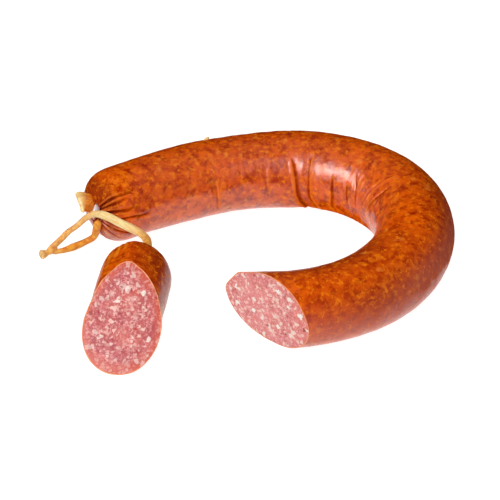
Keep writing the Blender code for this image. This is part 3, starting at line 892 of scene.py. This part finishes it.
ring_tail = tail("ring_casing_tail", ring, 0.6)
end_tail = tail("end_casing_tail", end, 2.1)
print("tails are", [[round(v, 4) for v in made.dimensions] for made in (ring_tail, end_tail)])

# %% [markdown]
# ## The clip
#
# The neck is closed by a strip of aluminium wire, pressed round it by a machine. A bent torus would
# keep its round section, and a pressed wire is flat with rounded edges. So the section is a rounded
# oblong, swept round a small circle that doesn't quite close, and it thins out at both ends.

# %% Clip
CLIP_RADIUS = 0.0032    # from the middle of the neck to the middle of the wire
CLIP_THICK, CLIP_WIDE = 0.00085, 0.00180


def rounded(wave, power):
    """A sine or cosine made squarer, which turns a circle into a rounded oblong."""
    return np.sign(wave) * np.abs(wave) ** power


def clasp(name, sausage, node):
    """A pressed wire clip round the gathered neck."""
    out, points, ways = neck_line(sausage, TAIL_LENGTH)
    centre, way = read_line(CLIP_AT, out, points), unit(read_line(CLIP_AT, out, ways))
    side, up = square_to(way)
    turns = np.radians(np.linspace(-80, 260, 72))
    section = around_row(20)
    rows = []
    for i, turn in enumerate(turns):
        outward = side * math.cos(turn) + up * math.sin(turn)
        end_share = min(1.0, 0.45 + min(i, len(turns) - 1 - i) / 5)
        thick = rounded(np.sin(section), 0.7) * CLIP_THICK * end_share
        wide = rounded(np.cos(section), 0.6) * CLIP_WIDE * end_share
        dent = 0.00012 * math.sin(5 * turn)
        rows.append(centre + np.outer(CLIP_RADIUS + dent + thick, outward) + np.outer(wide, way))
    made = grid_mesh(name, np.array(rows)[:, ::-1])
    made.data.set_sharp_from_angle(angle=math.radians(50))
    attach(made, "root")
    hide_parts(node)
    return made


ring_clasp = clasp("ring_pressed_clip", ring, "ring_clip")
end_clasp = clasp("end_pressed_clip", end, "end_piece_clip")
print("clip is", [round(v, 4) for v in ring_clasp.dimensions])

# %% [markdown]
# ## A torn shred of casing
#
# On top of the back arm a small dry shred of casing stands up. It is a flake a few millimetres
# long. A flat card would vanish edge on, so it is a little leaf of closed rows, curled and pinched,
# which catches the light against the background.

# %% Shred
def shred(name, sausage, s, turn, size):
    """A dry curled flake standing on the skin."""
    root = sausage.surface(np.array([[s]]), np.radians([[turn]]))[0, 0]
    centre, forward, left = (v[0] for v in sausage.axis(np.array([s])))
    out = unit(root - centre)
    across = around_row(14)
    rows = []
    for t in np.linspace(0, 1, 12):
        half = size * 0.75 * math.sin(math.pi * (0.15 + 0.8 * t)) ** 0.8
        middle = root + out * (size * (t - 0.25)) + forward * (size * 0.6 * t * t)
        rows.append(middle + np.outer(half * np.cos(across), forward)
                    + np.outer(half * 0.3 * np.sin(across), np.cross(out, forward)))
    made = grid_mesh(name, np.array(rows)[:, ::-1])
    paint(made, "rim", np.ones(len(made.data.vertices)))
    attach(made, "root")
    return made


flake = shred("casing_shred", ring, 0.0730, 66, 0.0021)
print("shred is", [round(v, 4) for v in flake.dimensions])

# %% [markdown]
# ## Materials
#
# Every finish below is a small tree of nodes. They could be drawn by hand in the editor, but written
# out they can be read from top to bottom. Small helpers keep them short: each adds one node, such as
# a noise, a number stored in the mesh or a stretched value, and gives back its output.

# %% Node helpers
def add(tree, kind, settings=(), **inputs):
    """Add a shader node; inputs may be values or other nodes' sockets."""
    made = tree.nodes.new("ShaderNode" + kind)
    for key, value in dict(settings).items():
        setattr(made, key, value)
    for key, value in inputs.items():
        socket = made.inputs[key.replace("_", " ")]
        if isinstance(value, bpy.types.NodeSocket):
            tree.links.new(value, socket)
        else:
            socket.default_value = value
    return made


def clouds(tree, place, scale, detail, rough=0.5):
    """Smooth noise between 0 and 1."""
    return add(tree, "TexNoise", Vector=place, Scale=scale, Detail=detail, Roughness=rough).outputs["Fac"]


def stored(tree, name):
    """A number painted on the points of the mesh."""
    return add(tree, "Attribute", {"attribute_name": name}).outputs["Fac"]


def between(tree, value, first, last, low=0.0, high=1.0):
    """Turn a value that runs from low to high into one that runs from first to last."""
    return add(tree, "MapRange", Value=value, From_Min=low, From_Max=high,
               To_Min=first, To_Max=last).outputs[0]


def ramp(tree, share, low, high):
    """Stretch a value so that low becomes 0 and high becomes 1, with soft ends."""
    return add(tree, "MapRange", {"interpolation_type": "SMOOTHSTEP"}, Value=share,
               From_Min=low, From_Max=high).outputs[0]


print("between and ramp both stretch a value; ramp has soft ends")

# %% [markdown]
# ## Mixing
#
# Colours are built up in layers, as a glaze is: a ground colour first, then tints that show only
# where a share says so. Drawn by hand that is a long chain of mix nodes. Here one list holds the
# tints from the lowest layer to the highest, and shares are weighed and added up the same way.

# %% Mixing helpers
def blend(tree, share, first, second):
    """Blend two colours, or colour sockets, by a share."""
    made = add(tree, "Mix", {"data_type": "RGBA"})
    for place, value in ((0, share), (6, first), (7, second)):
        if isinstance(value, bpy.types.NodeSocket):
            tree.links.new(value, made.inputs[place])
        else:
            made.inputs[place].default_value = (*value, 1.0)
    return made.outputs[2]


def tinted(tree, colour, layers):
    """Lay tints over a colour, each the stronger the further its share is from low to high."""
    for share, low, high, most, tint in layers:
        colour = blend(tree, between(tree, share, 0.0, most, low, high), colour, tint)
    return colour


def combine(tree, kind, operation, first, second):
    """A math node with two inputs, the second a socket or a plain value."""
    made = add(tree, kind, {"operation": operation})
    tree.links.new(first, made.inputs[0])
    if isinstance(second, bpy.types.NodeSocket):
        tree.links.new(second, made.inputs[1])
    else:
        made.inputs[1].default_value = second
    return made.outputs[0]


def sum_of(tree, *shares):
    """Add up sockets, each times its own weight."""
    total = None
    for socket, weight in shares:
        term = add(tree, "Math", {"operation": "MULTIPLY_ADD"})
        tree.links.new(socket, term.inputs[0])
        term.inputs[1].default_value = weight
        term.inputs[2].default_value = 0.0
        if total is not None:
            tree.links.new(total, term.inputs[2])
        total = term.outputs[0]
    return total


print("mixing helpers ready")

# %% [markdown]
# ## Grains
#
# Fat lies in coarse meat as grains with ragged, soft edges. Cells of a Voronoi texture are a start,
# but they fill everything and have straight edges. So we push places about with noise first, keep
# only a share of the cells, and give each kept cell a grain of its own size. Grains of full size have
# to be the usual case, because a cut through a block of small balls would show mere dots.

# %% Grain helpers
def warped(tree, scale, amount):
    """Places on the piece, plain and pushed about a little, which frays the edges of grains."""
    place = add(tree, "TexCoord").outputs["Object"]
    push = add(tree, "TexNoise", Vector=place, Scale=scale, Detail=2.0).outputs["Color"]
    push = combine(tree, "VectorMath", "SUBTRACT", push, (0.5, 0.5, 0.5))
    push = add(tree, "VectorMath", {"operation": "SCALE"}, Vector=push, Scale=amount).outputs[0]
    return place, combine(tree, "VectorMath", "ADD", place, push)


def flecks(tree, place, scale, share, size, soft):
    """Soft-edged grains in a share of the cells, most of them of full size, and a number per cell."""
    cells = add(tree, "TexVoronoi", Vector=place, Scale=scale)
    pick = add(tree, "SeparateColor", Color=cells.outputs["Color"]).outputs
    reach = between(tree, pick[0], 0.0, size, 1.0 - share, 1.0 - 0.4 * share)
    inside = sum_of(tree, (reach, 1.0), (cells.outputs["Distance"], -1.0))
    return ramp(tree, inside, 0.0, soft), pick[1]


print("grain helpers ready")

# %% [markdown]
# ## Finishes
#
# A finish starts with plain values on the shader's own sockets and ends with the wired ones: colour,
# roughness and a fine relief. One large function could do all at once, but then no cell could show
# how its own colour comes about. So two helpers stand at its beginning and its end.

# %% Finish helpers
def finish(name, **values):
    """A new material and its tree, with plain values set on the shader's sockets."""
    made = bpy.data.materials.new(name)
    made.use_nodes = True
    for key, value in values.items():
        made.node_tree.nodes["Principled BSDF"].inputs[key.replace("_", " ")].default_value = value
    return made, made.node_tree


def complete(made, pieces, relief, strength, depth, **sockets):
    """Wire fine relief and the other sockets to the shader, and give the finish to its pieces."""
    tree = made.node_tree
    sockets["Normal"] = add(tree, "Bump", Strength=strength, Distance=depth, Height=relief).outputs[0]
    for key, socket in sockets.items():
        tree.links.new(socket, tree.nodes["Principled BSDF"].inputs[key.replace("_", " ")])
    for piece in pieces:
        piece.data.materials.append(made)
    print(made.name, "has", len(tree.nodes), "nodes and goes on", len(pieces), "pieces")


print("finish helpers ready")

# %% [markdown]
# ## Smoked casing
#
# Smoke turns the casing orange-brown, and the coarse meat shows through it, blurred by the skin:
# amber specks of fat a millimetre or two wide, redder lean between them, and slow patches where the
# smoke was thicker. A picture wrapped on as a texture would carry its own lights with it, so the
# mottling is layers of noise at those sizes, from broad to fine, and only a few soft flecks. The
# numbers stored in the mesh then paint shade into the folds and pleats and highlights onto their
# lips, brown the skin where smoke lies thick and paint shade on the sides that face away from the
# light, lay a grey bloom with a painted reflection of the table on the low side, and paint amber
# where fat shows through and light streaks along the gathers of the end piece. The skin is smooth
# and a little greasy where it is stretched over the inside of the bend, and dull where it dried, so
# the stored dullness lowers the gloss as well.

# %% Casing finish
casing_finish, tree = finish("smoked_casing", IOR=1.55)
place, warp = warped(tree, 450.0, 0.0026)
patch = clouds(tree, place, 120.0, 3.0, 0.6)
mottle = clouds(tree, warp, 230.0, 4.0, 0.66)
slow = clouds(tree, place, 24.0, 2.0)
light = clouds(tree, warp, 380.0, 3.0, 0.6)
speck = flecks(tree, warp, 250.0, 0.16, 0.80, 0.80)[0]
hollow, lip, smoky, dry, edge, bloom, amber = (
    stored(tree, name) for name in ("hollow", "lip", "smoky", "dry", "edge", "bloom", "amber"))
glow = sum_of(tree, (amber, 0.8), (mottle, 1.0))
# smoke patches together with painted shade, which brown the skin
smoke = sum_of(tree, (smoky, 1.0), (mottle, 0.8))
skin = blend(tree, ramp(tree, mottle, 0.34, 0.64), (0.32, 0.014, 0.001), (0.97, 0.148, 0.002))
skin = tinted(tree, skin, [
    (patch, 0.35, 0.65, 0.45, (0.82, 0.098, 0.002)),
    (smoke, 0.35, 1.35, 0.80, (0.27, 0.028, 0.005)),
    (slow, 0.45, 0.70, 0.35, (0.42, 0.038, 0.005)),
    (ramp(tree, light, 0.50, 0.72), 0.0, 1.0, 0.75, (0.98, 0.245, 0.006)),
    (ramp(tree, speck, 0.0, 1.0), 0.0, 1.0, 0.42, (0.96, 0.310, 0.035)),
    # amber where fat shows through, and painted light streaks along the end piece's gathers
    (ramp(tree, glow, 0.75, 1.30), 0.0, 1.0, 0.80, (0.98, 0.270, 0.015)),
    # grey bloom: partly painted reflection of the table on the low sides
    (ramp(tree, bloom, 0.0, 1.0), 0.0, 1.0, 0.42, (0.72, 0.190, 0.140)),
    # painted highlight on the lips of folds and pleats
    (lip, 0.0, 1.0, 0.50, (0.95, 0.230, 0.035)),
    # painted shade in the hollows of folds and pleats
    (hollow, 0.0, 1.0, 0.62, (0.16, 0.008, 0.001)),
    (edge, 0.0, 1.0, 1.00, (0.86, 0.300, 0.110)),
])
gloss = between(tree, patch, 0.15, 0.36, 0.3, 0.7)
rough = sum_of(tree, (gloss, 1.0), (hollow, 0.4), (lip, 0.15), (dry, 0.20))
dull = sum_of(tree, (hollow, 0.9), (lip, 0.5), (dry, 1.0), (patch, 0.5), (light, 0.6))
shine = between(tree, dull, 0.68, 0.0, 0.4, 1.2)
complete(casing_finish, (ring_casing, end_casing), sum_of(tree, (mottle, 1.0), (light, 0.5)), 0.24, 0.0004,
         Base_Color=skin, Roughness=rough, Specular_IOR_Level=shine)

# %% [markdown]
# ## Coarse meat
#
# The cut shows a mosaic: lean meat from deep red to pale pink, and fat from cream to white, in
# grains from half a millimetre to three millimetres across. One noise can't do that, because its
# grains are all alike. Here the lean is fine noise in two reds, and three sizes of flecks lie over
# it, the largest the fewest and the whitest. Pushing their places about with noise makes their edges
# ragged. Towards the rim the meat has dried darker, and fewer flecks show. Fresh meat is moist, so
# it shines softly, and light goes a little way into it.

# %% Meat finish
meat_finish, tree = finish("coarse_meat", IOR=1.42, Subsurface_Weight=0.20,
                           Subsurface_Radius=(0.9, 0.35, 0.25), Subsurface_Scale=0.0004)
place, warp = warped(tree, 620.0, 0.0026)
slow = clouds(tree, place, 120.0, 2.0)
fine = clouds(tree, warp, 900.0, 4.0, 0.65)
broad = clouds(tree, place, 70.0, 2.0)
lean, near_rim = (stored(tree, name) for name in ("lean", "near_rim"))
# lean: partly leaner meat, partly painted light on the two faces
tone = sum_of(tree, (fine, 1.0), (slow, 0.45), (lean, -0.12))
face = blend(tree, ramp(tree, tone, 0.52, 0.95), (0.45, 0.046, 0.056), (0.87, 0.275, 0.265))
face = tinted(tree, face, [
    (broad, 0.45, 0.70, 0.45, (0.78, 0.165, 0.105)),
    (near_rim, 0.0, 1.0, 0.95, (0.64, 0.080, 0.036)),
])
heights = [(tone, 0.6)]
for scale, share, size, soft, most, tint in (
        (900.0, 0.55, 0.82, 0.30, 0.80, (0.94, 0.48, 0.44)),
        (560.0, 0.40, 0.82, 0.30, 0.88, (0.98, 0.70, 0.60)),
        (370.0, 0.15, 0.72, 0.20, 1.00, (1.00, 0.90, 0.80))):
    grain, number = flecks(tree, warp, scale, share, size, soft)
    fewer = sum_of(tree, (number, 1.0), (lean, -0.28), (near_rim, -0.55))
    fat = combine(tree, "Math", "MULTIPLY", grain, between(tree, fewer, 0.30 * most, most))
    face = blend(tree, fat, face, tint)
    heights.append((fat, 0.3))
# painted shade: a few dark grains stand for small gaps in the cut face
gap = flecks(tree, warp, 380.0, 0.04, 0.50, 0.15)[0]
face = blend(tree, gap, face, (0.40, 0.045, 0.035))
complete(meat_finish, (ring_meat, end_meat), sum_of(tree, *heights), 0.35, 0.0005,
         Base_Color=face, Roughness=between(tree, tone, 0.50, 0.34))

# %% [markdown]
# ## Dry tail
#
# The tail has dried to a stiff amber skin with a pale rim, and light shines through it a little. One
# flat amber would look like plastic, so two ambers follow a fine noise, and the stored number for
# the rim pales it whatever way the tail is turned. The shred is the same dry skin.

# %% Tail finish
tail_finish, tree = finish("dry_casing_tail", IOR=1.45, Subsurface_Weight=0.15,
                           Subsurface_Radius=(0.9, 0.4, 0.1), Subsurface_Scale=0.0008)
fine = clouds(tree, warped(tree, 500.0, 0.002)[1], 900.0, 4.0)
amber = blend(tree, ramp(tree, fine, 0.35, 0.65), (0.58, 0.13, 0.008), (0.92, 0.30, 0.022))
amber = blend(tree, stored(tree, "rim"), amber, (0.97, 0.66, 0.25))
complete(tail_finish, (ring_tail, end_tail, flake), fine, 0.4, 0.0003,
         Base_Color=amber, Roughness=between(tree, fine, 0.35, 0.55))

# %% [markdown]
# ## Stained string
#
# The string is cream cotton, stained orange where fat and smoke have run down it. The stain could
# follow the height above the table, but it has dried in, so it is stored along the string instead
# and stays with it. The noise is read at places along and across the string, which makes fibres.

# %% String finish
string_finish, tree = finish("smoked_string", IOR=1.3, Sheen_Weight=0.10, Sheen_Roughness=0.4)
fibre = add(tree, "Attribute", {"attribute_name": "fibre"}).outputs["Vector"]
strand = clouds(tree, fibre, 2600.0, 3.0)
blotch = clouds(tree, add(tree, "TexCoord").outputs["Object"], 350.0, 3.0)
cotton = blend(tree, ramp(tree, strand, 0.35, 0.65), (0.94, 0.62, 0.20), (1.0, 0.89, 0.47))
smoke = blend(tree, ramp(tree, blotch, 0.35, 0.65), (0.76, 0.22, 0.014), (0.99, 0.45, 0.052))
stained = blend(tree, stored(tree, "stain"), cotton, smoke)
complete(string_finish, (long_run, short_run, knot), strand, 0.6, 0.0003,
         Base_Color=stained, Roughness=between(tree, strand, 0.6, 0.85))
for made, rows, table in (
        (long_run, long_rows, [(0, 1), (.08, .95), (.2, .8), (.34, .3), (.4, .1), (.55, .1), (.68, .6),
                               (.85, .8), (1, .8)]),
        (short_run, short_rows, [(0, 1), (.8, 1), (1, .7)]),
        (knot, knot_rows, [(0, .8), (.5, .8), (.85, .65), (1, .5)])):
    share = np.linspace(0, 1, rows.shape[0])
    paint(made, "stain", np.repeat(np.interp(share, *zip(*table)), rows.shape[1]))

# %% [markdown]
# ## Pressed clip
#
# The clips are soft aluminium, dull from the press. A pure metal would mostly mirror the dark room,
# so the finish is a pale grey with only a little metal in it, and fine scuffs break up its shine.

# %% Clip finish
clip_finish, tree = finish("pressed_aluminium", Metallic=0.20)
scuff = clouds(tree, add(tree, "TexCoord").outputs["Object"], 1400.0, 4.0)
metal = blend(tree, scuff, (0.80, 0.81, 0.83), (0.97, 0.98, 1.0))
complete(clip_finish, (ring_clasp, end_clasp), scuff, 0.3, 0.0001,
         Base_Color=metal, Roughness=between(tree, scuff, 0.25, 0.5))

# %% [markdown]
# ## Table
#
# The white table glows like the backlit tables used for food, which keeps the floor clean and puts
# the pale pink band along the sausage's lower side. A plain white floor would need far more light
# than the sausage can take. The table is part of the room and not of the sausage.

# %% Table
bpy.ops.mesh.primitive_plane_add(size=4.0, location=(0.0, 0.0, 0.0))
table = bpy.context.object
table.name = "table"
table_finish = finish("white_table", Base_Color=(0.30, 0.30, 0.30, 1.0), Roughness=0.9,
                      Emission_Color=(1.0, 1.0, 1.0, 1.0), Emission_Strength=0.93,
                      Specular_IOR_Level=0.1)[0]
table.data.materials.append(table_finish)
table.visible_diffuse = False
table.visible_shadow = False
print("table is", table.dimensions[0], "m wide")

# %% [markdown]
# ## Lights
#
# A glossy sausage shows the room it lies in. One lamp could do for shine and for brightness, but
# then each could only be moved with the other. So they are parted here: one large tilted box is seen
# only as the broad shine inside the bend, a second weak one as a faint sheen, and four soft lights
# only brighten the sausage: a key, a fill from the front, a ceiling, and the table's own glow from
# below.

# %% Lights
def soft_box(name, azimuth, rise, distance, width, height, brightness, roll=0.0, shine=False):
    """A flat light that faces the sausage; it is either only its reflection, or only its light."""
    light = bpy.data.lights.new(name, "AREA")
    light.shape = "RECTANGLE"
    light.size, light.size_y = width, height
    light.energy = brightness * math.pi * width * height
    made = bpy.data.objects.new(name, light)
    turn, up = math.radians(azimuth), math.radians(rise)
    way = Vector((math.sin(turn) * math.cos(up), math.cos(turn) * math.cos(up), math.sin(up)))
    made.location = way * distance
    faced = way.to_track_quat("Z", "Y") @ Quaternion((0, 0, 1), math.radians(roll))
    made.rotation_euler = faced.to_euler()
    made.visible_glossy, made.visible_diffuse = shine, not shine
    bpy.context.scene.collection.objects.link(made)


soft_box("front_left_box", -122.0, 33.0, 1.3, 1.50, 0.68, 10.4, roll=25.0, shine=True)
soft_box("sheen", -172.0, 50.0, 1.6, 1.9, 1.1, 0.9, roll=8.0, shine=True)
soft_box("key", -145.0, 42.0, 1.6, 1.6, 1.2, 3.3)
soft_box("front_fill", 150.0, 22.0, 1.8, 2.2, 1.4, 0.75)
soft_box("ceiling", 0.0, 89.0, 2.0, 3.0, 3.0, 0.70)
soft_box("table_glow", 0.0, -89.5, 0.6, 2.4, 2.4, 1.10)
world = bpy.data.worlds.new("studio")
world.use_nodes = True
world.node_tree.nodes["Background"].inputs["Color"].default_value = (0.04, 0.04, 0.04, 1.0)
bpy.context.scene.world = world
bpy.context.scene.view_settings.view_transform = "Standard"
